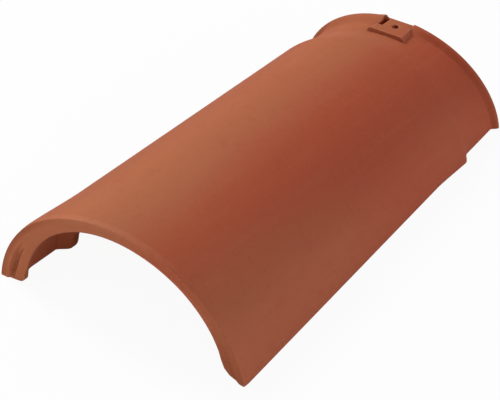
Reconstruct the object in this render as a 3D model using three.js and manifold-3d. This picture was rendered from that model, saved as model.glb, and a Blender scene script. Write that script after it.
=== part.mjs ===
// Clay ridge tile: a half-round, tapered tile that laps over the ridge of a roof.
// One pressed and fired piece. Millimetres, +Z up. The tile lies on its two long feet,
// its wide mouth faces -Y and its narrow tail faces +Y.
import * as THREE from 'three';
import { mergeVertices } from 'three/addons/utils/BufferGeometryUtils.js';
import Module from 'manifold-3d';

// ---- driving dimensions ----
const LENGTH = 400;               // mouth face to tail face
const MOUTH_HALF_WIDTH = 120.9;   // outer, at the feet
const MOUTH_CROWN = 95.4;         // outer height of the crown above the feet
const TAIL_HALF_WIDTH = 99.8;     // the same taper carried on to the tail face
const BODY_CROWN = 91.2;          // the body's own crown line at the mouth, without the flare
const TAIL_CROWN = 79.2;          // and at the tail face
const MOUTH_FLARE = 68;           // the crown rises from that line to the mouth over this length
const MOUTH_CENTRE_DROP = 18;     // how far the outer arch's centre lies below the feet
const BODY_CENTRE_DROP = 9.5;     // at the shoulder
const SPIGOT_CENTRE_DROP = 7;
const MOUTH_INNER_DROP = 11;      // the same for the arch's underside
const TAIL_INNER_DROP = 6;

const WALL_FOOT = 12.5;           // wall at the feet and at the crown
const WALL_CROWN = 12;

const MOUTH_EDGE_FOOT = 0.8;      // easing of the mouth's outer edge, at the feet and at the crown
const MOUTH_EDGE_CROWN = 1.7;
const MOUTH_EDGE_RUN = 5;
const BAND_THICKNESS = 8.6;       // proud outer band of the mouth face
const BAND_RECESS = 3.8;          // the lip's face lies this far behind the band on the flanks
const LIP_FILL_FOOT = 2.6;        // the recess is filled again by this much at the feet
const LIP_FILL_CROWN = 1.2;       // and over the crown
const STEP_DRAFT = 0.6;           // lean of the step between them
const LIP_THICKNESS_FOOT = 22.6;  // whole thickness of the mouth at the feet and at the crown
const LIP_THICKNESS_CROWN = 14.1;
const LIP_BACK = 7.6;             // from the mouth face to the back of the lip's inner edge
const LIP_ROOT = 17;              // and to where its sloping back meets the wall
const LIP_EDGE = 0.6;             // rounding of the lip's inner edge
const CHANNEL_WALL_FOOT = 13.9;   // wall along the channel behind the lip
const CHANNEL_WALL_CROWN = 10.5;
const CHANNEL_REAR_CROWN = 8.5;   // it thins over the crown, as the mouth's flare runs out
const CHANNEL_END = 51.5;         // from the mouth face to the foot of the rib
const RIB_HEIGHT_FOOT = 9.6;      // stop rib behind the channel
const RIB_HEIGHT_CROWN = 5;
const RIB_LENGTH = 27.5;          // from the foot of its steep front to the end of its rear flank

const SPIGOT_LENGTH = 55;         // the part that slides into the next tile's mouth
const SHOULDER_FLARE = 3.2;       // the feet swell a little before the shoulder
const FLARE_LENGTH = 50;
const FLARE_HEIGHT = 90;          // the swelling fades out at this height
const SHOULDER_LEAD = 8;          // the shoulder starts this far ahead of the spigot at the feet
const SHOULDER_RUN_FOOT = 13;     // it is short at the feet, and long and soft over the crown
const SHOULDER_RUN_CROWN = 30;
const SPIGOT_STEP_FOOT = 2.8;     // drop from the taper to the spigot
const SPIGOT_STEP_CROWN = 8.4;
const SPIGOT_WALL = 10.5;         // wall of the spigot
const COLLAR_WIDTH = 7.4;         // raised ring round the tail
const COLLAR_FRONT = 2.4;         // run of its steep front
const COLLAR_HEIGHT_FOOT = 5;
const COLLAR_HEIGHT_CROWN = 5;
const COLLAR_EDGE = 1.2;
const COLLAR_END_LENGTH = 9;      // the collar thickens at its left end, beside the pad
const COLLAR_END_RISE = 1;
const COLLAR_END_LEAN = 3;        // and its end face slopes down to the pad over this width

const FOOT_OUTER_EDGE = 1.2;      // rounding of the feet's outer corners
const FOOT_INNER_EDGE = 1.5;      // and of their inner corners
const LIP_FOOT_EDGE = 4.5;        // the same on the lip's left foot
const BAND_FOOT_EDGE = 1;         // and on the mouth's band
const TRIMMED_BAND_EDGE = 5.6;    // the mouth's right foot is trimmed further back
const TRIMMED_LIP_EDGE = 19;
const BAND_FOOT_FLAT = 0.95;      // the rounding may take up this share of the band's foot

const PAD_WIDTH = 32.5;           // flat fixing pad on the crown of the tail, at its front
const PAD_OFFSET = -1.5;          // its middle, which leaves room for the pocket
const PAD_NARROWING = 0.16;       // share of its width lost towards the tail
const PAD_LENGTH = 25.4;
const PAD_TOP = 74.5;             // height of its front edge above the feet
const PAD_FALL = 1.3;             // its top falls by this much to the tail, with the crown
const PAD_SPREAD = 4.2;           // its sides lean out by this much over its height
const PAD_FRONT_LEAN = 0.6;       // and its front leans back by this much
const PAD_HEIGHT = 5;             // height of the pad's block, its root sunk into the spigot
const COLLAR_CUT_LEFT = 12.5;     // the collar is cut away over the pad
const COLLAR_CUT_RIGHT = 12.5;
const NAIL_HOLE_DIAMETER = 6.6;
const NAIL_HOLE_FROM_TAIL = 11;
const POCKET_WIDTH = 6.3;         // pocket for the hook of a ridge clip, beside the nail hole
const POCKET_LENGTH = 13.4;
const POCKET_DEPTH = 5.5;
const POCKET_LEFT = 17;           // its far side from the middle of the tile
const POCKET_FROM_TAIL = 1.5;     // thin wall left between the pocket and the tail face

const ARCH_STEPS = 44;            // facets round the arch
const EDGE_STEPS = 3;             // facets round each corner of a foot
const BODY_STEPS = 7;             // stations along the plain body
const HOLE_SIDES = 28;
const WELD = 1e-4;                // points closer than this are one

const wasm = await Module();
wasm.setup();

// ---- sizes along the tile, y measured from the mouth face ----
const spigotStart = LENGTH - SPIGOT_LENGTH;
const flareStart = spigotStart - FLARE_LENGTH;
const footShoulder = spigotStart - SHOULDER_LEAD;
const crownShoulderEnd = spigotStart + SHOULDER_RUN_CROWN;
const collarStart = LENGTH - COLLAR_WIDTH;
const lipFace = BAND_RECESS + STEP_DRAFT;
const ribEnd = CHANNEL_END + RIB_LENGTH;

// profiles as pairs of a share of the run and a share of the height
const mouthEdge = [[0, 1], [0.15, 0.55], [0.45, 0.2], [1, 0]];
const softStep = [[0, 0], [0.2, 0.1], [0.4, 0.35], [0.6, 0.65], [0.8, 0.9], [1, 1]];
const ribSection = [
  [0.09, 0.2], [0.12, 0.6], [0.16, 0.9], [0.24, 0.99], [0.36, 1],
  [0.48, 0.9], [0.64, 0.59], [0.82, 0.17],
];

/** Height of a broken line through [y, value] pairs at y. */
function along(line, y) {
  const last = line.length - 1;
  if (y <= line[0][0]) return line[0][1];
  for (let i = 0; i < last; i++) {
    const [y0, v0] = line[i];
    const [y1, v1] = line[i + 1];
    if (y <= y1) return v0 + (v1 - v0) * (y - y0) / (y1 - y0);
  }
  return line[last][1];
}

/** Lays a profile of shares out from `start`, over `run`, between the values `from` and `to`. */
function lay(profile, start, run, from, to) {
  return profile.map(([u, v]) => [start + run * u, from + (to - from) * v]);
}

/** How far the outer face stands off the plain taper: mouth edge, shoulder, spigot and collar. */
function outerRelief(edge, shoulder, run, step, collar) {
  return [
    ...lay(mouthEdge, 0, MOUTH_EDGE_RUN, 0, -edge),
    ...lay(softStep, shoulder, run, 0, -step),
    [collarStart, -step],
    [collarStart + COLLAR_FRONT, collar - COLLAR_EDGE - step],
    [collarStart + COLLAR_FRONT + COLLAR_EDGE, collar - step],
    [LENGTH - COLLAR_EDGE, collar - step],
    [LENGTH, collar - COLLAR_EDGE - step],
  ];
}

/** Thickness of the wall, measured in from the plain taper. */
function wallThickness(lip, channel, channelRear, wall, rib, step) {
  return [
    [0, BAND_THICKNESS],
    [BAND_RECESS, BAND_THICKNESS + STEP_DRAFT],
    [lipFace, lip - LIP_EDGE],
    [lipFace + LIP_EDGE, lip],
    [LIP_BACK - LIP_EDGE, lip],
    [LIP_BACK, lip - LIP_EDGE],
    [LIP_ROOT, channel],
    [CHANNEL_END, channelRear],
    ...lay(ribSection, CHANNEL_END, RIB_LENGTH, channelRear, channelRear + rib),
    [ribEnd, wall],
    [footShoulder, wall],
    [crownShoulderEnd, step + SPIGOT_WALL],
  ];
}

const outerFoot = outerRelief(
  MOUTH_EDGE_FOOT, footShoulder, SHOULDER_RUN_FOOT, SPIGOT_STEP_FOOT, COLLAR_HEIGHT_FOOT);
const outerCrown = outerRelief(
  MOUTH_EDGE_CROWN, spigotStart, SHOULDER_RUN_CROWN, SPIGOT_STEP_CROWN, COLLAR_HEIGHT_CROWN);
const footFlare = [
  [flareStart, 0],
  ...lay(softStep, footShoulder, SHOULDER_RUN_FOOT, SHOULDER_FLARE, 0),
];
const outerDrop = [
  [0, MOUTH_CENTRE_DROP],
  [spigotStart, BODY_CENTRE_DROP],
  [crownShoulderEnd, SPIGOT_CENTRE_DROP],
];
const wallFoot = wallThickness(
  LIP_THICKNESS_FOOT, CHANNEL_WALL_FOOT, CHANNEL_WALL_FOOT, WALL_FOOT, RIB_HEIGHT_FOOT,
  SPIGOT_STEP_FOOT);
const wallCrown = wallThickness(
  LIP_THICKNESS_CROWN, CHANNEL_WALL_CROWN, CHANNEL_REAR_CROWN, WALL_CROWN, RIB_HEIGHT_CROWN,
  SPIGOT_STEP_CROWN);
const mouthFlare = lay(softStep, 0, MOUTH_FLARE, MOUTH_CROWN - BODY_CROWN, 0);

// how far the lip's face comes forward again: by its height, as a share of the crown's, and as a
// share of that from the mouth face over the lip to its back edge
const lipFill = [
  [0, LIP_FILL_FOOT], [0.12, LIP_FILL_FOOT / 8], [0.18, 0], [0.4, 0],
  [0.75, LIP_FILL_CROWN / 3], [1, LIP_FILL_CROWN],
];
const lipFillShare = [[0, 0], [BAND_RECESS, 1], [lipFace + LIP_EDGE, 1], [LIP_BACK - LIP_EDGE, 0]];

/**
 * Rounding of the inner corner of a foot: on the band, where it leaves room for the outer one, on
 * the lip, and behind it.
 */
function footEdge(band, lip) {
  const room = BAND_FOOT_FLAT * (BAND_THICKNESS - MOUTH_EDGE_FOOT - FOOT_OUTER_EDGE);
  return [
    [BAND_RECESS, Math.min(band, room)],
    [lipFace, lip], [LIP_BACK, lip], [LIP_ROOT, FOOT_INNER_EDGE],
  ];
}
const leftEdge = footEdge(BAND_FOOT_EDGE, LIP_FOOT_EDGE);
const rightEdge = footEdge(TRIMMED_BAND_EDGE, TRIMMED_LIP_EDGE);

const taper = (mouth, tail, y) => mouth + (tail - mouth) * y / LENGTH;

/** Half width, crown height and centre drop of the outer and the inner arch at y. */
function sizesAt(y) {
  const width = taper(MOUTH_HALF_WIDTH, TAIL_HALF_WIDTH, y);
  const crown = taper(BODY_CROWN, TAIL_CROWN, y) + along(mouthFlare, y);
  const innerDrop = taper(MOUTH_INNER_DROP, TAIL_INNER_DROP, y);
  return {
    outer: [width + along(outerFoot, y), crown + along(outerCrown, y), along(outerDrop, y)],
    inner: [width - along(wallFoot, y), crown - along(wallCrown, y), innerDrop],
  };
}

/**
 * Arc of an ellipse through both feet and the crown, with a rounding of the given radius at each
 * foot, from the right foot's underside to the left one's. `into` is the side of the clay: -1 on
 * the outer face, 1 on the inner one. A flare swells the feet and fades out up the flanks.
 */
function archPoints([halfWidth, crown, drop], right, left, into, flare) {
  const rise = crown + drop;
  const reach = halfWidth / Math.cos(Math.asin(drop / rise));
  const start = Math.asin((drop + right) / rise);
  const end = Math.PI - Math.asin((drop + left) / rise);
  const arc = Array.from({ length: ARCH_STEPS + 1 }, (_, i) => {
    const angle = start + (end - start) * i / ARCH_STEPS;
    return new THREE.Vector2(reach * Math.cos(angle), rise * Math.sin(angle) - drop);
  });
  const foot = (side, radius, arcEnd) => new THREE.QuadraticBezierCurve(
    new THREE.Vector2(side * (halfWidth + into * radius), 0),
    new THREE.Vector2(side * halfWidth, 0), arcEnd).getPoints(EDGE_STEPS);
  const points = [
    ...foot(1, right, arc[0]), ...arc.slice(1, -1), ...foot(-1, left, arc.at(-1)).reverse(),
  ];
  return points.map((p) => {
    const swell = flare * Math.max(0, 1 - p.y / FLARE_HEIGHT) ** 2;
    return new THREE.Vector2(p.x + Math.sign(p.x) * swell, p.y);
  });
}

/** Closed section of the shell at y: over the outer arch, round the feet, back under it. */
function sectionAt(y) {
  const sizes = sizesAt(y);
  const over = archPoints(
    sizes.outer, FOOT_OUTER_EDGE, FOOT_OUTER_EDGE, -1, along(footFlare, y));
  const under = archPoints(sizes.inner, along(rightEdge, y), along(leftEdge, y), 1, 0).reverse();
  const crown = sizes.inner[1];
  const place = (p, forward) => new THREE.Vector3(p.x, y - forward - LENGTH / 2, p.y);
  return [
    ...over.map((p) => place(p, 0)),
    ...under.map((p) => place(p, along(lipFill, p.y / crown) * along(lipFillShare, y))),
  ];
}

/** Joins the sections at the given stations into one closed skin. */
function loft(stations) {
  const rings = stations.map(sectionAt);
  const count = rings[0].length;
  const positions = rings.flatMap((ring) => ring.flatMap((p) => p.toArray()));
  const faceOf = (ring) => ring.map((p) => new THREE.Vector2(p.x, p.z));
  const index = [];
  for (let k = 0; k + 1 < rings.length; k++) {
    for (let i = 0; i < count; i++) {
      const a = k * count + i;
      const b = k * count + (i + 1) % count;
      index.push(a, a + count, b, b, a + count, b + count);
    }
  }
  const capStart = (rings.length - 1) * count;
  THREE.ShapeUtils.triangulateShape(faceOf(rings[0]), []).forEach((corners) => {
    index.push(...corners);
  });
  THREE.ShapeUtils.triangulateShape(faceOf(rings.at(-1)), []).forEach(([a, b, c]) => {
    index.push(capStart + a, capStart + c, capStart + b);
  });
  const skin = new THREE.BufferGeometry();
  skin.setAttribute('position', new THREE.Float32BufferAttribute(positions, 3));
  skin.setIndex(index);
  return skin;
}

/** The closed mesh as a solid that can be joined and cut. */
function solidOf(geometry) {
  geometry.deleteAttribute('normal');
  geometry.deleteAttribute('uv');
  const merged = mergeVertices(geometry, WELD);
  return new wasm.Manifold(new wasm.Mesh({
    numProp: 3,
    vertProperties: new Float32Array(merged.attributes.position.array),
    triVerts: new Uint32Array(merged.index.array),
  }));
}

function geometryOf(solid) {
  const { vertProperties, triVerts } = solid.getMesh();
  const geometry = new THREE.BufferGeometry();
  geometry.setAttribute('position', new THREE.BufferAttribute(vertProperties, 3));
  geometry.setIndex(new THREE.BufferAttribute(triVerts, 1));
  geometry.computeVertexNormals();
  return geometry;
}

const tailFace = LENGTH / 2;

/** Block from x0 to x1, y0 to y1 and z0 to z1. */
function block(x0, x1, y0, y1, z0, z1) {
  const box = new THREE.BoxGeometry(x1 - x0, y1 - y0, z1 - z0);
  return box.translate((x0 + x1) / 2, (y0 + y1) / 2, (z0 + z1) / 2);
}

/**
 * The pad's block: a trapezoid across the tile, run along it to the tail face. Its front leans
 * back. Towards the tail it narrows, and its top falls with the crown.
 */
function padBlock() {
  const top = PAD_WIDTH / 2;
  const root = top + PAD_SPREAD;
  const across = new THREE.Shape([
    new THREE.Vector2(-root, -PAD_HEIGHT),
    new THREE.Vector2(root, -PAD_HEIGHT),
    new THREE.Vector2(top, 0),
    new THREE.Vector2(-top, 0),
  ]);
  const pad = new THREE.ExtrudeGeometry(across, { depth: PAD_LENGTH, bevelEnabled: false });
  pad.rotateX(Math.PI / 2).translate(0, tailFace, PAD_TOP);
  const corners = pad.attributes.position;
  const front = tailFace - PAD_LENGTH;
  for (let i = 0; i < corners.count; i++) {
    if (corners.getY(i) < front + WELD && corners.getZ(i) > PAD_TOP - WELD) {
      corners.setY(i, front + PAD_FRONT_LEAN);
    }
    const share = 1 - (tailFace - corners.getY(i)) / PAD_LENGTH;
    corners.setX(i, corners.getX(i) * (1 - PAD_NARROWING * share));
    corners.setZ(i, corners.getZ(i) - PAD_FALL * share);
  }
  return pad.translate(PAD_OFFSET, 0, 0);
}

/** The collar is cut away over the pad, down to the spigot's crown. */
function collarGap() {
  const spigotCrown = TAIL_CROWN - SPIGOT_STEP_CROWN;
  return block(
    -COLLAR_CUT_LEFT - COLLAR_END_LEAN, COLLAR_CUT_RIGHT, tailFace - 2 * COLLAR_WIDTH,
    tailFace + COLLAR_WIDTH, spigotCrown, MOUTH_CROWN);
}

/** The collar's left end: a block that grows out of the ring and slopes down to the pad. */
function collarEnd() {
  const { outer: [width, crown, drop] } = sizesAt(LENGTH - COLLAR_EDGE);
  const ringTop = (x) => (crown + drop) * Math.sqrt(1 - (x / width) ** 2) - drop;
  const foot = -COLLAR_CUT_LEFT;
  const right = foot - COLLAR_END_LEAN;
  const left = right - COLLAR_END_LENGTH;
  const middle = (left + right) / 2;
  const across = new THREE.Shape([
    new THREE.Vector2(left, ringTop(left) - PAD_HEIGHT),
    new THREE.Vector2(foot, ringTop(left) - PAD_HEIGHT),
    new THREE.Vector2(foot, PAD_TOP - PAD_FALL),
    new THREE.Vector2(right, ringTop(right) + COLLAR_END_RISE),
    new THREE.Vector2(middle, ringTop(middle) + COLLAR_END_RISE),
    new THREE.Vector2(left, ringTop(left) - COLLAR_EDGE / 2),
  ]);
  const depth = COLLAR_WIDTH - COLLAR_FRONT - COLLAR_EDGE;
  const end = new THREE.ExtrudeGeometry(across, { depth, bevelEnabled: false });
  return end.rotateX(Math.PI / 2).translate(0, tailFace - COLLAR_EDGE / 2, 0);
}

function clipPocket() {
  const rear = tailFace - POCKET_FROM_TAIL;
  return block(
    -POCKET_LEFT, POCKET_WIDTH - POCKET_LEFT, rear - POCKET_LENGTH, rear,
    PAD_TOP - PAD_FALL - POCKET_DEPTH, MOUTH_CROWN);
}

function nailHole() {
  const drill = new THREE.CylinderGeometry(
    NAIL_HOLE_DIAMETER / 2, NAIL_HOLE_DIAMETER / 2, MOUTH_CROWN, HOLE_SIDES);
  return drill.rotateX(Math.PI / 2).translate(0, tailFace - NAIL_HOLE_FROM_TAIL, PAD_TOP);
}

// ---- the tile ----
const breaks = [...mouthFlare, ...outerFoot, ...outerCrown, ...wallFoot, ...footFlare]
  .map(([y]) => y);
const bodySteps = Array.from({ length: BODY_STEPS - 1 }, (_, i) => (
  ribEnd + (flareStart - ribEnd) * (i + 1) / BODY_STEPS));
const stations = [...new Set([...breaks, ...bodySteps])].sort((a, b) => a - b);
const tile = solidOf(loft(stations))
  .subtract(solidOf(collarGap()))
  .add(solidOf(collarEnd()))
  .add(solidOf(padBlock()))
  .subtract(solidOf(clipPocket()))
  .subtract(solidOf(nailHole()));

const terracotta = new THREE.MeshStandardMaterial({
  color: 0xa86646, roughness: 0.85, metalness: 0,
});
const ridgeTile = new THREE.Mesh(geometryOf(tile), terracotta);
ridgeTile.name = 'ridge_tile';

const part = new THREE.Group();
part.add(ridgeTile);

export default part;
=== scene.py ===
"""Clay ridge tile: a half-round, tapered tile with a lipped mouth and a stepped tail, pressed
and fired in one piece. It lies on its two long feet, mouth towards -Y. Metres in Blender; the
tile's own sizes are in millimetres, with y measured from the mouth's face."""

import bmesh
import bpy
import numpy as np
from mathutils import Matrix, Vector


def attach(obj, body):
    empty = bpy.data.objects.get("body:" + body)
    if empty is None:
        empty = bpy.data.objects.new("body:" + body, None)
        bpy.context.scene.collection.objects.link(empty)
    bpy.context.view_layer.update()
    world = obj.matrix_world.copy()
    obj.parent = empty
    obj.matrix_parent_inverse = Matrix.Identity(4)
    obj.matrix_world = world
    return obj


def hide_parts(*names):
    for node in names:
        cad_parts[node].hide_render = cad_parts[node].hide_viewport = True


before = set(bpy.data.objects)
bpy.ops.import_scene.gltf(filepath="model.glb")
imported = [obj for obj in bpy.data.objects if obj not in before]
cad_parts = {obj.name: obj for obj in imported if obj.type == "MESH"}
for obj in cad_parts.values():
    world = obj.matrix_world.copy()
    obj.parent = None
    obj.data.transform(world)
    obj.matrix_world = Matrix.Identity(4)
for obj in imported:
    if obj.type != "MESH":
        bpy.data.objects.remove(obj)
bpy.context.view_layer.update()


# ---- the tile's shell ---------------------------------------------------------------------
# The real tile is one shell of fired clay. The press leaves a proud band and a lip round the
# mouth, a stop rib behind them, and at the tail a lower spigot with a raised collar, which
# slides under the next tile's mouth.
MM = 0.001
LENGTH = 400.0

# the plain taper: half widths at the feet, heights of the crown, and the rise of the crown
# towards the mouth
MOUTH_HALF_WIDTH, TAIL_HALF_WIDTH = 120.8, 99.75
BODY_CROWN, TAIL_CROWN = 91.1, 79.15
MOUTH_FLARE, MOUTH_FLARE_RUN = 4.15, 68.0

# how far the centres of the arches lie below the feet. The outer one's rises along the body as
# far as the spigot's start, then faster up to the drop's end.
OUTER_DROP_MOUTH, OUTER_DROP_SHOULDER, OUTER_DROP_SPIGOT = 18.0, 9.5, 7.0
SPIGOT_START, DROP_END, DROP_EASING = 345.0, 375.0, 6.0
INNER_DROP_MOUTH, INNER_DROP_TAIL = 11.0, 6.0

# the outer face: the mouth's round edge, the shoulder's step down to the spigot, the feet's
# swelling ahead of it, the collar (with a softer one for the left of the crown) and the tail
MOUTH_EDGE_RUN, MOUTH_EDGE_ROUNDNESS = 6.0, 1.45
MOUTH_EDGE_FOOT, MOUTH_EDGE_CROWN = 0.8, 1.3
FOOT_SHOULDER, CROWN_SHOULDER = 337.0, 340.0
FOOT_SHOULDER_RUN, CROWN_SHOULDER_RUN = 13.0, 36.0
FOOT_STEP, CROWN_STEP = 2.8, 8.4
FLARE_START, FOOT_FLARE, FLARE_HEIGHT, FLARE_BEND = 295.0, 3.2, 50.0, 1.2
COLLAR, COLLAR_RUN, COLLAR_SOFT_RUN, COLLAR_END = 5.0, 5.6, 11.0, 398.2
TAIL_EDGE, TAIL_EDGE_SHARE = 1.2, 0.98

# the wall, from the mouth's face inwards: band, recess, lip, channel, stop rib, plain wall and
# spigot. Places are distances from the mouth's face, the rest is thickness.
BAND, BAND_RECESS, STEP_DRAFT, BAND_EDGE = 8.6, 3.8, 0.6, 0.4
LIP_FACE, LIP_TOP, LIP_CREST, LIP_BACK, LIP_ROOT = 4.4, 5.0, 7.0, 7.6, 17.0
LIP_FOOT, LIP_CROWN, LIP_EDGE = 22.6, 14.1, 0.6
CHANNEL_FOOT, CHANNEL_CROWN, CHANNEL_REAR_CROWN = 13.9, 10.5, 8.5
CHANNEL_END, RIB_RUN, RIB_FOOT, RIB_CROWN, RIB_REAR = 51.5, 27.5, 9.6, 5.0, 5.0
WALL_FOOT, WALL_CROWN, SPIGOT_WALL, TAIL_INNER_EDGE = 12.5, 12.0, 10.5, 0.8

# where the rib rises and falls, in shares of its run, and how far the wall's corners are eased:
# finely as far as just behind the lip, more softly beyond
RIB_RISE_START, RIB_RISE, RIB_FALL_START, RIB_FALL = -0.14, 0.34, 0.34, 0.66
LIP_EASING, WALL_EASING, FINE_EASING_END, EASING_SAMPLES = 0.3, 2.2, 9.6, 11

# the lip's face: how far it comes forward and leans back, by shares of the crown's height, and
# the groove in it low on the legs
LIP_FILL_HEIGHTS = (0.06, 0.16, 0.22, 0.4, 0.75, 1.0)
LIP_FILLS = (2.6, 0.6, 0.2, 0.1, 0.4, 1.2)
LIP_LEAN_HEIGHTS, LIP_LEANS = (0.1, 0.45, 0.75, 1.0), (0.0, 3.2, 3.0, 2.3)
GROOVE_RISE, GROOVE_INNER, GROOVE_SHOULDER, GROOVE_DEPTH = 0.8, 2.6, 1.6, 2.4
GROOVE_HEIGHTS, GROOVE_SHARES = (0.01, 0.07, 0.28, 0.5), (0.0, 0.55, 0.5, 0.0)
GROOVE_RIGHT_SHARE = 0.12

# rounding of the feet's corners, which changes along the lip and the rib
FOOT_OUTER_EDGE, FOOT_INNER_EDGE = 1.2, 1.5
RIB_FOOT_EDGE = 3.6
RIB_FOOT_PLACES = (47.0, 55.0, 62.0, 74.0)
RIB_FOOT_EDGES = (FOOT_INNER_EDGE, RIB_FOOT_EDGE, RIB_FOOT_EDGE, FOOT_INNER_EDGE)
FOOT_EDGE_PLACES = (BAND_RECESS, LIP_FACE, LIP_BACK, LIP_ROOT) + RIB_FOOT_PLACES
LEFT_FOOT_EDGES = (1.0, 4.5, 4.5, FOOT_INNER_EDGE) + RIB_FOOT_EDGES
RIGHT_FOOT_EDGES = (5.6, 19.0, 19.0, FOOT_INNER_EDGE) + RIB_FOOT_EDGES

# rings along the tile: each run ends at the first number, in steps of about the second. Then
# the columns of the grid round the arch, the share of the arch that is crown, and the columns
# of a foot's corner.
RING_RUNS = ((0.5, 0.12), (1.5, 0.25), (3.4, 0.45), (4.8, 0.05), (6.6, 0.4), (8.0, 0.2),
             (17.0, 1.5), (45.0, 3.8), (63.0, 0.7), (79.0, 1.5), (295.0, 7.5), (336.0, 3.4),
             (371.5, 1.5), (374.0, 0.25), (392.0, 0.6), (400.0, 0.3))
FLANK_COLUMNS, CROWN_COLUMNS, CROWN_SHARE, CORNER_COLUMNS = 44, 90, 0.2, 5


def soft_rise(share):
    """Rises from 0 to 1 as share goes from 0 to 1, flat at both ends: 3s^2 - 2s^3."""
    share = np.clip(share, 0.0, 1.0)
    return share * share * (3.0 - 2.0 * share)


def eased_line(places, values, y, reach):
    """A broken line through the places, averaged over reach either way: its corners go round."""
    shifts = np.linspace(-1.0, 1.0, EASING_SAMPLES)
    return np.interp(y[:, None] + np.reshape(reach, (-1, 1)) * shifts, places, values).mean(1)


def outer_relief(y, edge, shoulder, run, step, collar, collar_run):
    """How far the outer face stands off the plain taper: about a quarter round at the mouth's
    edge, a soft step down to the spigot, then the collar's soft front and its round tail edge."""
    u = 1.0 - np.clip(y / MOUTH_EDGE_RUN, 0.0, 1.0)
    round_edge = 1.0 - (1.0 - u ** MOUTH_EDGE_ROUNDNESS) ** (1.0 / MOUTH_EDGE_ROUNDNESS)
    down = soft_rise((y - shoulder) / run)
    ring = collar * soft_rise((y - COLLAR_END + collar_run) / collar_run)
    v = np.clip((y - (LENGTH - TAIL_EDGE)) / TAIL_EDGE, 0.0, 1.0)
    tail = TAIL_EDGE * (1.0 - np.sqrt(1.0 - TAIL_EDGE_SHARE * v * v))
    return ring - step * down - edge * round_edge - tail


def both_reliefs(y, collar, collar_run):
    """The outer face's relief at the feet and over the crown, with a collar this high whose
    front is this long."""
    return (outer_relief(y, MOUTH_EDGE_FOOT, FOOT_SHOULDER, FOOT_SHOULDER_RUN, FOOT_STEP,
                         collar, collar_run),
            outer_relief(y, MOUTH_EDGE_CROWN, CROWN_SHOULDER, CROWN_SHOULDER_RUN, CROWN_STEP,
                         collar, collar_run))


def wall_thickness(y, lip, channel, channel_rear, wall, rib, spigot_step):
    """Thickness in from the plain taper: a broken line with eased corners over band, lip, channel,
    wall and spigot, plus a rib with a steep front and a long soft rear."""
    rib_end = CHANNEL_END + RIB_RUN
    places = (0.0, BAND_EDGE, BAND_RECESS, LIP_FACE, LIP_TOP, LIP_CREST, LIP_BACK, LIP_ROOT,
              CHANNEL_END, rib_end - RIB_REAR, rib_end, FOOT_SHOULDER,
              CROWN_SHOULDER + CROWN_SHOULDER_RUN, LENGTH - TAIL_EDGE, LENGTH)
    spigot = spigot_step + SPIGOT_WALL
    values = (BAND - BAND_EDGE, BAND, BAND + STEP_DRAFT, lip - LIP_EDGE, lip, lip,
              lip - LIP_EDGE, channel, channel_rear, channel_rear, wall, wall, spigot, spigot,
              spigot - TAIL_INNER_EDGE)
    reach = np.where(y < FINE_EASING_END, LIP_EASING, WALL_EASING)
    reach = np.minimum(reach, np.maximum(LENGTH - y, LIP_EASING))
    share = (y - CHANNEL_END) / RIB_RUN
    bead = (soft_rise((share - RIB_RISE_START) / RIB_RISE)
            * (1.0 - soft_rise((share - RIB_FALL_START) / RIB_FALL)))
    return eased_line(places, values, y, reach) + rib * bead


def arch(width, crown, drop, right_edge, left_edge, turn):
    """Arc of an ellipse through both feet and the crown, its centre `drop` below the feet. The arc
    starts and ends at the height of each foot's rounding. turn runs from -1, right, to 1, left."""
    rise = crown + drop
    reach = width / np.sqrt(1.0 - (drop / rise) ** 2)
    right = np.pi / 2 - np.arcsin((drop + right_edge) / rise)
    left = np.pi / 2 - np.arcsin((drop + left_edge) / rise)
    angle = np.pi / 2 + np.where(turn < 0.0, turn * right[:, None], turn * left[:, None])
    return reach[:, None] * np.cos(angle), rise[:, None] * np.sin(angle) - drop[:, None]


def rounded_half(x, z, width, right_edge, left_edge, inward):
    """The arc with its two feet: at each end a curve of the second degree bends from the arc's
    end round the foot's corner to the foot's flat underside."""
    t = np.linspace(0.0, 1.0, CORNER_COLUMNS + 1)[:-1]

    def corner(side, edge, end_x, end_z):
        """One foot's corner, ring by ring, from the underside up to the arc's end."""
        start, turn_at = side * width - side * inward * edge, side * width
        bend = ((1 - t) ** 2 * start[:, None] + 2 * t * (1 - t) * turn_at[:, None]
                + t ** 2 * end_x[:, None])
        return bend, t ** 2 * end_z[:, None]

    right = corner(1.0, right_edge, x[:, 0], z[:, 0])
    left = corner(-1.0, left_edge, x[:, -1], z[:, -1])
    return (np.hstack([right[0], x, left[0][:, ::-1]]),
            np.hstack([right[1], z, left[1][:, ::-1]]))


def flared(x, z, y):
    """The feet swell outwards ahead of the shoulder: a ramp along the tile that ends in a soft
    step, fading with the square of the height up the flanks."""
    ramp = np.clip((y - FLARE_START) / (FOOT_SHOULDER - FLARE_START), 0.0, 1.0) ** FLARE_BEND
    ramp = ramp * (1.0 - soft_rise((y - FOOT_SHOULDER) / FOOT_SHOULDER_RUN))
    fade = np.clip(1.0 - z / FLARE_HEIGHT, 0.0, 1.0) ** 2
    return x + np.sign(x) * FOOT_FLARE * ramp * fade


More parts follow.
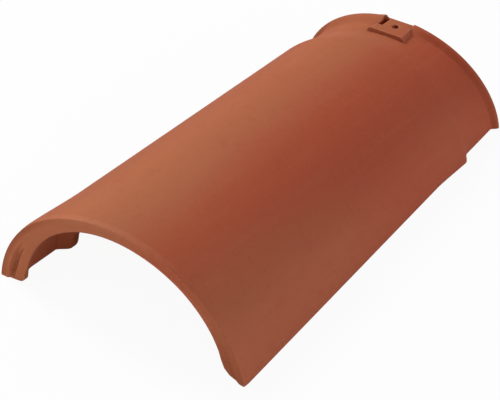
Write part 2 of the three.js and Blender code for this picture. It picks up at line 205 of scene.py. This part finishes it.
def lip_forward(x, y, z, crown, wall):
    """How far the lip's face comes forward out of its recess: by height, and running out over the
    band in front and over the lip's crest behind. Over the crown the face leans, from the band's
    inner edge back to the lip's. Low on the legs a soft groove goes back into the face just
    inside the band, a negative bump over a few millimetres of wall, fainter on the right."""
    share = np.interp(y, (0.0, BAND_RECESS, LIP_TOP, LIP_CREST), (0.0, 1.0, 1.0, 0.0))
    inside = wall - BAND - STEP_DRAFT
    whole = LIP_FOOT + (LIP_CROWN - LIP_FOOT) * z / crown - BAND - STEP_DRAFT
    lean = np.interp(z / crown, LIP_LEAN_HEIGHTS, LIP_LEANS)
    lean = lean * np.clip(1.0 - inside / whole, 0.0, 1.0)
    groove = soft_rise(inside / GROOVE_RISE)
    groove = groove * (1.0 - soft_rise((inside - GROOVE_INNER) / GROOVE_SHOULDER))
    groove = (y < LIP_TOP) * groove * np.interp(z / crown, GROOVE_HEIGHTS, GROOVE_SHARES)
    groove = groove * np.where(x > 0.0, GROOVE_RIGHT_SHARE, 1.0)
    fill = np.interp(z / crown, LIP_FILL_HEIGHTS, LIP_FILLS) + lean
    return fill * share * (1.0 - groove) - GROOVE_DEPTH * groove


def ring_places():
    """The places of the rings along the tile: the mouth's face, then each run in equal steps."""
    places, start = [np.zeros(1)], 0.0
    for end, step in RING_RUNS:
        count = int(np.ceil((end - start) / step))
        places.append(np.linspace(start, end, count + 1)[1:])
        start = end
    return np.concatenate(places)


y = ring_places()
flank = np.linspace(-1.0, -CROWN_SHARE, FLANK_COLUMNS + 1)[:-1]
turn = np.concatenate([flank, np.linspace(-CROWN_SHARE, CROWN_SHARE, CROWN_COLUMNS), -flank[::-1]])

body_width = MOUTH_HALF_WIDTH + (TAIL_HALF_WIDTH - MOUTH_HALF_WIDTH) * y / LENGTH
body_crown = (BODY_CROWN + (TAIL_CROWN - BODY_CROWN) * y / LENGTH
              + MOUTH_FLARE * (1.0 - soft_rise(y / MOUTH_FLARE_RUN)))
foot_relief, crown_relief = both_reliefs(y, COLLAR, COLLAR_RUN)
foot_soft, crown_soft = both_reliefs(y, COLLAR, COLLAR_SOFT_RUN)
foot_bare, crown_bare = both_reliefs(y, 0.0, COLLAR_RUN)
foot_wall = wall_thickness(y, LIP_FOOT, CHANNEL_FOOT, CHANNEL_FOOT, WALL_FOOT, RIB_FOOT, FOOT_STEP)
crown_wall = wall_thickness(y, LIP_CROWN, CHANNEL_CROWN, CHANNEL_REAR_CROWN, WALL_CROWN,
                            RIB_CROWN, CROWN_STEP)
outer_drop = eased_line((0.0, SPIGOT_START, DROP_END),
                        (OUTER_DROP_MOUTH, OUTER_DROP_SHOULDER, OUTER_DROP_SPIGOT), y, DROP_EASING)
inner_drop = INNER_DROP_MOUTH + (INNER_DROP_TAIL - INNER_DROP_MOUTH) * y / LENGTH

outer_edge = np.full_like(y, FOOT_OUTER_EDGE)
right_edge = eased_line(FOOT_EDGE_PLACES, RIGHT_FOOT_EDGES, y, LIP_EASING)
left_edge = eased_line(FOOT_EDGE_PLACES, LEFT_FOOT_EDGES, y, LIP_EASING)
outer_width, outer_crown = body_width + foot_relief, body_crown + crown_relief
inner_width, inner_crown = body_width - foot_wall, body_crown - crown_wall
outer_x, outer_z = arch(outer_width, outer_crown, outer_drop, outer_edge, outer_edge, turn)
inner_x, inner_z = arch(inner_width, inner_crown, inner_drop, right_edge, left_edge, turn)


# ---- the fixing pad -----------------------------------------------------------------------
# A flat pad stands on the crown of the spigot, in a gap of the collar. It is pressed with the
# shell: its top holds a nail hole and a pocket for the hook of a ridge clip.
PAD_MIDDLE, PAD_HALF_WIDTH, PAD_NARROWING = -1.5, 16.25, 0.16
PAD_FRONT, PAD_TOP, PAD_FALL = 375.1, 74.5, 1.3
PAD_SIDE_SLOPE, PAD_FRONT_SLOPE = 1.19, 8.5
PAD_EDGE, PAD_FILLET = 0.5, 0.5
PAD_REACH, PAD_DEPTH = 6.0, 3.0       # the pad's fillet starts this far ahead and below

# across the tile: the gap of the collar, its sloping left end, and where its front is softer.
# Each holds only above its own height, so the feet keep the plain collar.
GAP_LEFT, GAP_RIGHT, GAP_DRAFT, GAP_FLOOR = -15.5, 12.5, 0.5, 40.0
COLLAR_END_LENGTH, COLLAR_END_RISE, COLLAR_END_LEAN, COLLAR_SWELL = 9.0, 1.0, 5.0, 5.6
EASE_LEFT, EASE_RIGHT, EASE_FADE, EASE_FLOOR = -84.0, 17.0, 18.0, 30.0

# the openings in its top, whose rims are rounded only above a height, and the share of a round
# that is used for a rim, for the arch and for the pad's tail edge, so that none ends upright
HOLE_Y, HOLE_RADIUS, HOLE_RIM = 389.0, 3.3, 0.7
POCKET_X, POCKET_Y = (-17.0, -10.7), (385.1, 398.5)
POCKET_FLOOR, POCKET_RIM, POCKET_CORNER = 67.7, 0.5, 1.0
RIM_FLOOR, RIM_SHARE, ARCH_SHARE, PAD_EDGE_SHARE = 60.0, 0.999, 0.999, 0.99


def rounder_min(a, b, size):
    """The lower of two heights, with the edge between them rounded over about size: their mean
    less half the root of their gap squared plus size squared, brought back up a quarter size."""
    return 0.5 * (a + b - np.sqrt((a - b) ** 2 + size * size)) + 0.25 * size


def rounder_max(a, b, size):
    """The higher of two heights, with a fillet of about size between them."""
    return 0.5 * (a + b + np.sqrt((a - b) ** 2 + size * size)) - 0.25 * size


def rim_fall(distance, size):
    """How far a rim's rounding falls at this distance outside the opening: a quarter circle."""
    inside = np.clip(size - distance, 0.0, size * RIM_SHARE)
    return size - np.sqrt(size * size - inside * inside)


def arch_height(x, width, crown, drop):
    """Height of the arch's ellipse over the place x across the tile: its rise times the root of
    1 less the square of x over its reach, less the drop of its centre."""
    rise = crown + drop
    reach = width / np.sqrt(1.0 - (drop / rise) ** 2)
    share = np.clip(x / reach[:, None], -ARCH_SHARE, ARCH_SHARE)
    return rise[:, None] * np.sqrt(1.0 - share ** 2) - drop[:, None]


def tail_crown(x, z, y):
    """The outer face with the collar eased on the left of the crown and cut away over the pad,
    and the pad itself: a flat top that falls to the tail and narrows, with sloping sides, a steep
    front and a round tail edge. The rims of the hole and the pocket are rounded down."""
    # the collar, eased on the left of the crown
    eased = arch_height(x, body_width + foot_soft, body_crown + crown_soft, outer_drop)
    share = (soft_rise((x - EASE_LEFT) / EASE_FADE)
             * (1.0 - soft_rise((x - EASE_RIGHT) / EASE_FADE)) * (z > EASE_FLOOR))
    z = z + share * (eased - z)

    # the gap cut out of it, which its left end swells up to
    bare = arch_height(x, body_width + foot_bare, body_crown + crown_bare, outer_drop)
    gap = (np.clip((x - GAP_LEFT) / COLLAR_END_LEAN, 0.0, 1.0)
           * soft_rise((GAP_RIGHT - x) / GAP_DRAFT + 0.5) * (z > GAP_FLOOR))
    swollen = (soft_rise((x - GAP_LEFT + COLLAR_END_LENGTH) / COLLAR_END_LENGTH)
               * soft_rise((y - COLLAR_END + COLLAR_SWELL) / COLLAR_SWELL) * (x < 0.0))
    z = z + COLLAR_END_RISE * swollen
    z = z + gap * (bare - z)

    # the pad: the lowest of its top, its two sides and its front, with a round tail edge
    share = np.clip((y - PAD_FRONT) / (LENGTH - PAD_FRONT), 0.0, 1.0)
    top = PAD_TOP - PAD_FALL * share
    side = top - PAD_SIDE_SLOPE * (
        np.abs(x - PAD_MIDDLE) - PAD_HALF_WIDTH * (1.0 - PAD_NARROWING * share))
    front = top - PAD_FRONT_SLOPE * (PAD_FRONT - y)
    pad = rounder_min(rounder_min(top, side, PAD_EDGE), front, PAD_EDGE)
    edge = np.clip((y - (LENGTH - PAD_EDGE)) / PAD_EDGE, 0.0, PAD_EDGE_SHARE)
    pad = pad - PAD_EDGE * (1.0 - np.sqrt(1.0 - edge * edge))
    fillet = PAD_FILLET * (pad > z - PAD_DEPTH)
    z = np.where(y > PAD_FRONT - PAD_REACH, rounder_max(z, pad, fillet), z)

    # the rims of its two openings, by the distance outside each
    hole = np.hypot(x, y - HOLE_Y) - HOLE_RADIUS
    pocket = np.hypot(np.maximum(np.abs(x - np.mean(POCKET_X)) - np.ptp(POCKET_X) / 2, 0.0),
                      np.maximum(np.abs(y - np.mean(POCKET_Y)) - np.ptp(POCKET_Y) / 2, 0.0))
    return z - (rim_fall(hole, HOLE_RIM) + rim_fall(pocket, POCKET_RIM)) * (z > RIM_FLOOR)


outer_z = tail_crown(outer_x, outer_z, y[:, None])

half_outer = rounded_half(outer_x, outer_z, outer_width, outer_edge, outer_edge, 1.0)
half_outer = (flared(*half_outer, y[:, None]), half_outer[1])
half_inner = rounded_half(inner_x, inner_z, inner_width, right_edge, left_edge, -1.0)


def foot_middles(side):
    """The middle of a foot's flat underside, ring by ring: right where side is above 0."""
    at = 0 if side > 0 else -1
    return (0.5 * (half_outer[0][:, at] + half_inner[0][:, at]))[:, None]


# one closed loop a ring: right foot, over the arch, left foot, and back under it
loop_x = np.hstack([foot_middles(1), half_outer[0], foot_middles(-1), half_inner[0][:, ::-1]])
flat = np.zeros((len(y), 1))
loop_z = np.hstack([flat, half_outer[1], flat, half_inner[1][:, ::-1]])
loop_y = np.repeat(y[:, None], loop_x.shape[1], axis=1)
rings, around = loop_x.shape
middle_left = half_outer[0].shape[1] + 1

# the lip comes forward on the inner arch, and the middles of the feet go with its ends
wall_there = foot_wall[:, None] + ((crown_wall - foot_wall)[:, None]
                                   * half_inner[1] / inner_crown[:, None])
forward = lip_forward(half_inner[0], y[:, None], half_inner[1], inner_crown[:, None], wall_there)
loop_y[:, middle_left + 1:] -= forward[:, ::-1]
loop_y[:, 0] -= forward[:, 0]
loop_y[:, middle_left] -= forward[:, -1]
points = np.stack([loop_x, loop_y - LENGTH / 2, loop_z], axis=-1)


def skin_faces():
    """Quads between neighbouring rings, and a strip that closes each end between the outer and
    the inner arch. At the feet's middles two corners of the strip fall together, which leaves a
    triangle."""
    ring, column = np.meshgrid(np.arange(rings - 1), np.arange(around), indexing="ij")
    following = (column + 1) % around
    a, b = ring * around + column, ring * around + following
    skin = np.stack([a, a + around, b + around, b], axis=-1).reshape(-1, 4)
    over = np.arange(middle_left)
    under = (around - over) % around
    mouth = np.stack([over, over + 1, (around - over - 1) % around, under], axis=-1)
    tail = mouth[:, ::-1] + (rings - 1) * around
    quads = np.vstack([skin, mouth, tail])
    return [tuple(dict.fromkeys(quad)) for quad in quads.tolist()]


shell_mesh = bpy.data.meshes.new("fired_tile")
shell_mesh.from_pydata((points.reshape(-1, 3) * MM).tolist(), [], skin_faces())
fired_tile = bpy.data.objects.new("fired_tile", shell_mesh)
bpy.context.collection.objects.link(fired_tile)


# ---- the nail hole and the clip's pocket --------------------------------------------------
# Both are punched in the soft clay before firing: the hole goes right through, the pocket is
# blind and a little narrower at its floor. Their plugs end above the pad, and the hole's
# starts below the inside of the arch.
HOLE_SIDES, HOLE_SPAN = 72, (40.0, 90.0)
POCKET_DRAFT, CORNER_POINTS = 0.25, 8
WELD, SHARP_ANGLE = 0.01, 38.0


def punch(name, outlines, heights):
    """A closed plug through outlines laid one above the other: a grid of sides and two ends."""
    count = len(outlines[0])
    corners = np.vstack([np.column_stack([o[:, 0], o[:, 1] - LENGTH / 2, np.full(count, h)])
                         for o, h in zip(outlines, heights)])
    faces = []
    for level in range(len(heights) - 1):
        base = level * count
        faces += [(base + i, base + (i + 1) % count, base + count + (i + 1) % count,
                   base + count + i) for i in range(count)]
    top = (len(heights) - 1) * count
    faces += [tuple(range(count - 1, -1, -1)), tuple(range(top, top + count))]
    mesh = bpy.data.meshes.new(name)
    mesh.from_pydata((corners * MM).tolist(), [], faces)
    plug = bpy.data.objects.new(name, mesh)
    bpy.context.collection.objects.link(plug)
    return plug


def pocket_outline(shrink):
    """The pocket's rectangle, smaller by shrink on each side, with quarter circles at its
    corners, walked once round."""
    half = np.array([np.ptp(POCKET_X), np.ptp(POCKET_Y)]) / 2 - shrink
    quarter = np.linspace(0.0, np.pi / 2, CORNER_POINTS)
    centre = np.array([np.mean(POCKET_X), np.mean(POCKET_Y)])
    corners = []
    for turn_by, sx, sy in ((0.0, 1, 1), (np.pi / 2, -1, 1),
                            (np.pi, -1, -1), (-np.pi / 2, 1, -1)):
        middle = centre + (half - POCKET_CORNER) * (sx, sy)
        corners.append(middle + POCKET_CORNER * np.column_stack(
            [np.cos(quarter + turn_by), np.sin(quarter + turn_by)]))
    return np.vstack(corners)


around_hole = np.linspace(0.0, 2 * np.pi, HOLE_SIDES, endpoint=False)
hole_outline = np.column_stack([HOLE_RADIUS * np.cos(around_hole),
                                HOLE_Y + HOLE_RADIUS * np.sin(around_hole)])
punches = [punch("hole_punch", [hole_outline, hole_outline], HOLE_SPAN),
           punch("pocket_punch", [pocket_outline(POCKET_DRAFT), pocket_outline(0.0)],
                 (POCKET_FLOOR, HOLE_SPAN[1]))]
for tool in punches:
    cut = fired_tile.modifiers.new(tool.name, "BOOLEAN")
    cut.operation, cut.solver, cut.object = "DIFFERENCE", "MANIFOLD", tool
graph = bpy.context.evaluated_depsgraph_get()
finished = bpy.data.meshes.new_from_object(fired_tile.evaluated_get(graph))
fired_tile.modifiers.clear()
fired_tile.data = finished
for tool in punches:
    bpy.data.objects.remove(tool)

# the cuts leave a few hair-thin edges and many-sided faces: weld the first, split the second
welded = bmesh.new()
welded.from_mesh(finished)
bmesh.ops.remove_doubles(welded, verts=welded.verts, dist=WELD * MM)
bmesh.ops.triangulate(welded, faces=[face for face in welded.faces if len(face.verts) > 4])
welded.to_mesh(finished)
welded.free()
finished.polygons.foreach_set("use_smooth", np.ones(len(finished.polygons), dtype=bool))
finished.set_sharp_from_angle(angle=np.radians(SHARP_ANGLE))


# ---- wear and the underside ---------------------------------------------------------------
# Handling rubs the corners of the fired tile paler, and these corners and a band along the mouth's
# rim are also lightened as a painted highlight; the creases of the outer face are darkened as
# painted shade. Its underside lies on sand in the press and stays a little paler and rougher, and
# its left flank is darker. Each is stored on the mesh for the clay to read.

# bends in 1/m and the shortest edge in m, then how far a face points out of the arch, of 1
WEAR_AND_HIGHLIGHT_BEND, CREASE_SHADE_BEND, SHORTEST_EDGE = 300.0, 230.0, 2e-4
OUTWARD, UNDERSIDE_FADE, SANDED_FADE = 0.3, 0.5, 4.0

# the darkening of the left flank across the tile, and the mouth's rim, lightened as a painted
# highlight, which fades down both legs
LEFT_DARK_START, LEFT_DARK_FADE = -32.0, 60.0
RIM_HIGHLIGHT, RIM_WIDTH, RIM_FADE = 0.5, 7.0, 4.0
RIM_SIDES, RIM_RIGHT_RUN, RIM_LEFT_RUN = 40.0, 40.0, 50.0
RIM_RIGHT_FADE, RIM_LEFT_FADE = 0.75, 0.8


def bend_of(mesh):
    """For each vertex, how much the surface bends there, in 1/m: the mean over its edges, weighed
    by their lengths, of the change of normal along the edge over the edge's length. Above 0 it is
    a ridge. Also gives the places and the normals of the vertices."""
    count = len(mesh.vertices)
    place_of, normal_of = np.empty(count * 3), np.empty(count * 3)
    ends = np.empty(len(mesh.edges) * 2, dtype=np.int32)
    mesh.vertices.foreach_get("co", place_of)
    mesh.vertices.foreach_get("normal", normal_of)
    mesh.edges.foreach_get("vertices", ends)
    place_of, normal_of = place_of.reshape(-1, 3), normal_of.reshape(-1, 3)
    ends = ends.reshape(-1, 2)
    along = place_of[ends[:, 0]] - place_of[ends[:, 1]]
    turned = normal_of[ends[:, 0]] - normal_of[ends[:, 1]]
    length = np.maximum(np.linalg.norm(along, axis=1), SHORTEST_EDGE)
    bend = (along * turned).sum(1) / length ** 2
    total = np.bincount(ends.ravel(), np.repeat(bend * length, 2), count)
    weight = np.bincount(ends.ravel(), np.repeat(length, 2), count)
    return total / np.maximum(weight, SHORTEST_EDGE), place_of, normal_of


# out_of_arch is 1 where the surface faces straight out of the arch, and -1 where it faces in
bend, spot, facing = bend_of(finished)
out_of_arch = facing[:, 0] * spot[:, 0] + facing[:, 2] * (spot[:, 2] + INNER_DROP_MOUTH * MM)
out_of_arch = out_of_arch / np.hypot(spot[:, 0], spot[:, 2] + INNER_DROP_MOUTH * MM)
outer_face = soft_rise(out_of_arch / OUTWARD)
across_tile, from_mouth = spot[:, 0] / MM, spot[:, 1] / MM + LENGTH / 2
# painted highlight: a paler band along the mouth's rim, which fades down both legs
rim_highlight = RIM_HIGHLIGHT * soft_rise((RIM_WIDTH - from_mouth) / RIM_FADE) * (out_of_arch > OUTWARD)
rim_highlight = rim_highlight * (1.0 - RIM_RIGHT_FADE * soft_rise((across_tile - RIM_SIDES) / RIM_RIGHT_RUN)
             - RIM_LEFT_FADE * soft_rise((-across_tile - RIM_SIDES) / RIM_LEFT_RUN))
# paler rubbed corners, partly real wear and partly a painted highlight
wear_and_highlight = np.maximum(soft_rise(bend / WEAR_AND_HIGHLIGHT_BEND), rim_highlight)
# painted shade: the creases of the outer face are darkened
painted_crease_shade = soft_rise(-bend / CREASE_SHADE_BEND) * outer_face
# darker over the left flank of the outer face
left_flank_darkening = soft_rise((LEFT_DARK_START - across_tile) / LEFT_DARK_FADE) * outer_face
underside = (soft_rise((OUTWARD - out_of_arch) / UNDERSIDE_FADE)
             * soft_rise((from_mouth - LIP_CREST) / SANDED_FADE))
for name, amount in (("wear_and_highlight", wear_and_highlight), ("painted_crease_shade", painted_crease_shade), ("left_flank_darkening", left_flank_darkening),
                     ("underside", underside)):
    attribute = finished.attributes.new(name, "FLOAT", "POINT")
    attribute.data.foreach_set("value", amount.astype(np.float32))


# ---- the fired clay -----------------------------------------------------------------------
# Terracotta: a fine iron-red clay, pressed, dried and fired in a kiln. It is matt, with a fine
# grain, faint drag lines, soft firing clouds, small sand and grog specks, and paler rubbed edges.
# Light and shade are also painted in: ochre on the lit sides and red in the shaded band, a painted
# highlight on the edges and the mouth's rim, and painted shade in the creases. Colours are
# linear, and places on the tile are in metres.
# the red shows most in the band right of the crown, where it is painted shade
CLAY_RED = (0.400, 0.076, 0.032, 1.0)
CLAY_OCHRE = (0.395, 0.122, 0.0515, 1.0)
CLAY_PALE = (0.44, 0.130, 0.065, 1.0)
CLAY_DEEP = (0.33, 0.063, 0.030, 1.0)
CLAY_SAND = (0.50, 0.20, 0.11, 1.0)
# paler rubbed edges, also used as a painted highlight
CLAY_WORN_AND_HIGHLIGHT = (0.50, 0.172, 0.088, 1.0)
# dark grog specks, and the painted shade in the creases
CLAY_GROG_AND_SHADE = (0.20, 0.045, 0.024, 1.0)
# the darker tone of the left flank
CLAY_LEFT_FLANK = (0.262, 0.066, 0.026, 1.0)
CLAY_SANDED = (0.50, 0.128, 0.056, 1.0)
CLAY_GLOSS, CLAY_ROUGHNESS = 0.12, 0.72
BUMP_STRENGTH, BUMP_HEIGHT = 0.35, 0.0004
SPECK_CORE, SPECK_FADE = 0.5, 0.02

# where the ochre starts and where it is full. Across the tile it is painted light on the lit left
# and lower right, which leaves a redder, darker band of painted shade right of the crown; along
# the tile it grows towards the mouth.
LEFT_PAINTED_LIGHT, RIGHT_PAINTED_LIGHT, MOUTH_CLOUD = (0.052, -0.012), (0.045, 0.105), (0.10, -0.21)

clay = bpy.data.materials.new("terracotta")
clay.use_nodes = True
nodes, links = clay.node_tree.nodes, clay.node_tree.links
surface = nodes["Principled BSDF"]
surface.inputs["Specular IOR Level"].default_value = CLAY_GLOSS
place = nodes.new("ShaderNodeTexCoord")


def clay_noise(scale, detail, roughness, stretch=(1.0, 1.0, 1.0)):
    """Noise over the tile's own coordinates. Where stretch is below 1, it is drawn out."""
    spread = nodes.new("ShaderNodeMapping")
    spread.inputs["Scale"].default_value = stretch
    links.new(place.outputs["Object"], spread.inputs["Vector"])
    noise = nodes.new("ShaderNodeTexNoise")
    noise.inputs["Scale"].default_value = scale
    noise.inputs["Detail"].default_value = detail
    noise.inputs["Roughness"].default_value = roughness
    links.new(spread.outputs["Vector"], noise.inputs["Vector"])
    return noise.outputs["Fac"]


def between(value, low=0.0, high=1.0, least=0.0, most=1.0):
    """Goes softly from least to most as the value goes from low to high."""
    spread = nodes.new("ShaderNodeMapRange")
    spread.interpolation_type = "SMOOTHSTEP"
    for name, number in zip(("From Min", "From Max", "To Min", "To Max"),
                            (low, high, least, most)):
        spread.inputs[name].default_value = number
    links.new(value, spread.inputs["Value"])
    return spread.outputs["Result"]


def tinted(base, tint, amount):
    """Mixes the base colour with a tint by the amount: each is a node's output or a value. The
    node's colours are its sockets 6 and 7, the amount its socket 0, the mix its output 2."""
    mix = nodes.new("ShaderNodeMix")
    mix.data_type = "RGBA"
    for socket, value in ((6, base), (7, tint), (0, amount)):
        if isinstance(value, bpy.types.NodeSocket):
            links.new(value, mix.inputs[socket])
        else:
            mix.inputs[socket].default_value = value
    return mix.outputs[2]


def weighted(parts, start=0.0):
    """Adds outputs, each times its own weight, to a start value."""
    total = None
    for value, weight in parts:
        add = nodes.new("ShaderNodeMath")
        add.operation = "MULTIPLY_ADD"
        links.new(value, add.inputs[0])
        add.inputs[1].default_value = weight
        if total is None:
            add.inputs[2].default_value = start
        else:
            links.new(total, add.inputs[2])
        total = add.outputs["Value"]
    return total


def both(a, b):
    """The product of two outputs."""
    times = nodes.new("ShaderNodeMath")
    times.operation = "MULTIPLY"
    links.new(a, times.inputs[0])
    links.new(b, times.inputs[1])
    return times.outputs["Value"]


def stored(name):
    """A value kept on the mesh's points."""
    read = nodes.new("ShaderNodeAttribute")
    read.attribute_name = name
    return read.outputs["Fac"]


def specks(cells, size, rarity):
    """Small round dots: the middles of some cells of a cell pattern, few where rarity is high."""
    dots = nodes.new("ShaderNodeTexVoronoi")
    dots.inputs["Scale"].default_value = cells
    links.new(place.outputs["Object"], dots.inputs["Vector"])
    pick = nodes.new("ShaderNodeSeparateColor")
    links.new(dots.outputs["Color"], pick.inputs["Color"])
    return both(between(dots.outputs["Distance"], size, size * SPECK_CORE),
                between(pick.outputs["Red"], rarity, rarity + SPECK_FADE))


clouds = clay_noise(scale=7.0, detail=3.0, roughness=0.5)
mottle = clay_noise(scale=110.0, detail=4.0, roughness=0.6)
grain = clay_noise(scale=900.0, detail=3.0, roughness=0.6)
drag = clay_noise(scale=140.0, detail=3.0, roughness=0.55, stretch=(1.0, 0.06, 1.0))
grog = specks(cells=420.0, size=0.34, rarity=0.9)
sand = specks(cells=600.0, size=0.34, rarity=0.88)
axes = nodes.new("ShaderNodeSeparateXYZ")
links.new(place.outputs["Object"], axes.inputs["Vector"])
# ochre: painted light on the lit sides, a rise towards the mouth, and random firing clouds
ochre = weighted([(between(axes.outputs["X"], *LEFT_PAINTED_LIGHT), 0.85),
                  (between(axes.outputs["X"], *RIGHT_PAINTED_LIGHT), 0.5),
                  (between(axes.outputs["Y"], *MOUTH_CLOUD), 0.35),
                  (clouds, 0.5)])
# the rubbed corners and the mouth's rim: wear, with a painted highlight
rubbed_and_highlight = both(stored("wear_and_highlight"), between(mottle, 0.3, 0.6, least=0.45))

# each tint goes over the ones before it
colour = CLAY_RED
# ochre painted light on the lit sides, with firing clouds; the red band between is painted shade
for tint, amount in ((CLAY_OCHRE, between(ochre, 0.3, 1.5)),
                     # darker over the left flank
                     (CLAY_LEFT_FLANK, stored("left_flank_darkening")),
                     (CLAY_DEEP, between(mottle, 0.5, 0.8, most=0.25)),
                     (CLAY_PALE, between(drag, 0.5, 0.8, most=0.22)),
                     (CLAY_PALE, between(grain, 0.52, 0.75, most=0.3)),
                     (CLAY_SAND, between(sand, most=0.3)),
                     (CLAY_GROG_AND_SHADE, between(grog, most=0.3)),
                     (CLAY_SANDED, between(stored("underside"), most=0.6)),
                     # painted shade in the creases of the outer face
                     (CLAY_GROG_AND_SHADE, between(stored("painted_crease_shade"), most=0.42)),
                     # paler rubbed corners, and the painted highlight along the mouth's rim
                     (CLAY_WORN_AND_HIGHLIGHT, between(rubbed_and_highlight, most=0.7))):
    colour = tinted(colour, tint, amount)
links.new(colour, surface.inputs["Base Color"])
links.new(weighted([(mottle, 0.12), (stored("underside"), 0.06), (rubbed_and_highlight, -0.1)],
                   CLAY_ROUGHNESS), surface.inputs["Roughness"])

relief = weighted([(grain, 0.6), (mottle, 0.7), (drag, 0.5), (grog, -0.5), (sand, 0.25)])
bump = nodes.new("ShaderNodeBump")
bump.inputs["Strength"].default_value = BUMP_STRENGTH
bump.inputs["Distance"].default_value = BUMP_HEIGHT
links.new(relief, bump.inputs["Height"])
links.new(bump.outputs["Normal"], surface.inputs["Normal"])
finished.materials.clear()
finished.materials.append(clay)

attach(fired_tile, "root")
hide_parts("ridge_tile")


# ---- the floor and the room ---------------------------------------------------------------
# A plain white floor and room, which stay white behind the tile and keep its soft shadow. The
# floor lies a tenth of a millimetre below the feet, so that no two faces share a plane.
HALF_FLOOR, FLOOR_SINK = 4.0, 0.0001
FLOOR_PAINT, FLOOR_ROUGHNESS = (0.78, 0.78, 0.78, 1.0), 0.9
FLOOR_WHITENESS, ROOM_LIGHT = 0.94, 0.17


def white_rays(tree_nodes, tree_links, share):
    """The share, for rays from the camera, off gloss or through glass, and 0 for all others."""
    ray = tree_nodes.new("ShaderNodeLightPath")
    total = ray.outputs["Is Camera Ray"]
    for kind in ("Is Glossy Ray", "Is Transmission Ray"):
        add = tree_nodes.new("ShaderNodeMath")
        add.operation, add.use_clamp = "ADD", True
        tree_links.new(total, add.inputs[0])
        tree_links.new(ray.outputs[kind], add.inputs[1])
        total = add.outputs["Value"]
    weigh = tree_nodes.new("ShaderNodeMath")
    weigh.operation = "MULTIPLY"
    weigh.inputs[1].default_value = share
    tree_links.new(total, weigh.inputs[0])
    return weigh.outputs["Value"]


floor_mesh = bpy.data.meshes.new("floor")
floor_mesh.from_pydata([(HALF_FLOOR * x, HALF_FLOOR * y, -FLOOR_SINK)
                        for x, y in ((-1, -1), (1, -1), (1, 1), (-1, 1))],
                       [], [(0, 1, 2, 3)])
floor = bpy.data.objects.new("floor", floor_mesh)
bpy.context.collection.objects.link(floor)
floor_paint = bpy.data.materials.new("floor_paint")
floor_paint.use_nodes = True
floor_nodes, floor_links = floor_paint.node_tree.nodes, floor_paint.node_tree.links
floor_nodes["Principled BSDF"].inputs["Base Color"].default_value = FLOOR_PAINT
floor_nodes["Principled BSDF"].inputs["Roughness"].default_value = FLOOR_ROUGHNESS
glow = floor_nodes.new("ShaderNodeEmission")
glow.inputs["Strength"].default_value = 1.0
shown = floor_nodes.new("ShaderNodeMixShader")
floor_links.new(white_rays(floor_nodes, floor_links, FLOOR_WHITENESS), shown.inputs[0])
floor_links.new(floor_nodes["Principled BSDF"].outputs["BSDF"], shown.inputs[1])
floor_links.new(glow.outputs["Emission"], shown.inputs[2])
floor_links.new(shown.outputs["Shader"], floor_nodes["Material Output"].inputs["Surface"])
floor_mesh.materials.append(floor_paint)

room = bpy.data.worlds.new("room")
room.use_nodes = True
bpy.context.scene.world = room
room_nodes, room_links = room.node_tree.nodes, room.node_tree.links
backdrop = room_nodes["Background"]
backdrop.inputs["Color"].default_value = (1.0, 1.0, 1.0, 1.0)
level = room_nodes.new("ShaderNodeMapRange")
level.inputs["To Min"].default_value = ROOM_LIGHT
level.inputs["To Max"].default_value = 1.0
room_links.new(white_rays(room_nodes, room_links, 1.0), level.inputs["Value"])
room_links.new(level.outputs["Result"], backdrop.inputs["Strength"])


# ---- the lamps ----------------------------------------------------------------------------
# Three large soft boxes: the key high on the left, a weaker one on the right, and a faint one
# behind the right. Two small ones stand low in front: one lights the mouth's face, and one
# shines into the mouth.
TILE_MIDDLE = (0.0, 0.0, 0.05)
WHITE, COOL = (1.0, 1.0, 1.0), (0.95, 0.97, 1.21)


def soft_box(name, at, size, power, tint):
    """A round area lamp that faces the tile's middle."""
    lamp = bpy.data.lights.new(name, "AREA")
    lamp.shape, lamp.size, lamp.energy, lamp.color = "DISK", size, power, tint
    box = bpy.data.objects.new(name, lamp)
    bpy.context.collection.objects.link(box)
    aim_by = (Vector(at) - Vector(TILE_MIDDLE)).to_track_quat("Z", "Y")
    box.matrix_world = Matrix.Translation(at) @ aim_by.to_matrix().to_4x4()


soft_box("key_box", (-2.20, 0.39, 2.06), size=1.6, power=87.0, tint=WHITE)
soft_box("side_box", (2.85, -0.55, 0.88), size=1.6, power=25.0, tint=COOL)
soft_box("rear_box", (2.36, 1.65, 0.88), size=1.6, power=15.5, tint=COOL)
soft_box("front_box", (-0.40, -0.55, 0.20), size=0.4, power=1.0, tint=WHITE)
soft_box("low_box", (0.45, -0.95, 0.10), size=0.4, power=1.0, tint=WHITE)


# ---- the camera ---------------------------------------------------------------------------
# A long lens from the front right, well above the tile, which aims a little to the front and
# right of the tile's middle and is rolled by about two degrees.
CAMERA_AT, CAMERA_AIM = (0.79950, -1.07938, 0.97768), (0.02652, -0.06283, 0.05)
CAMERA_ROLL, CAMERA_LENS = -1.9008, 144.014
lens = bpy.data.cameras.new("camera")
lens.lens = CAMERA_LENS
camera = bpy.data.objects.new("camera", lens)
bpy.context.collection.objects.link(camera)
towards = (Vector(CAMERA_AT) - Vector(CAMERA_AIM)).to_track_quat("Z", "Y").to_matrix().to_4x4()
camera.matrix_world = (Matrix.Translation(CAMERA_AT) @ towards
                       @ Matrix.Rotation(np.radians(CAMERA_ROLL), 4, "Z"))
bpy.context.scene.camera = camera
bpy.context.scene.view_settings.view_transform = "Standard"
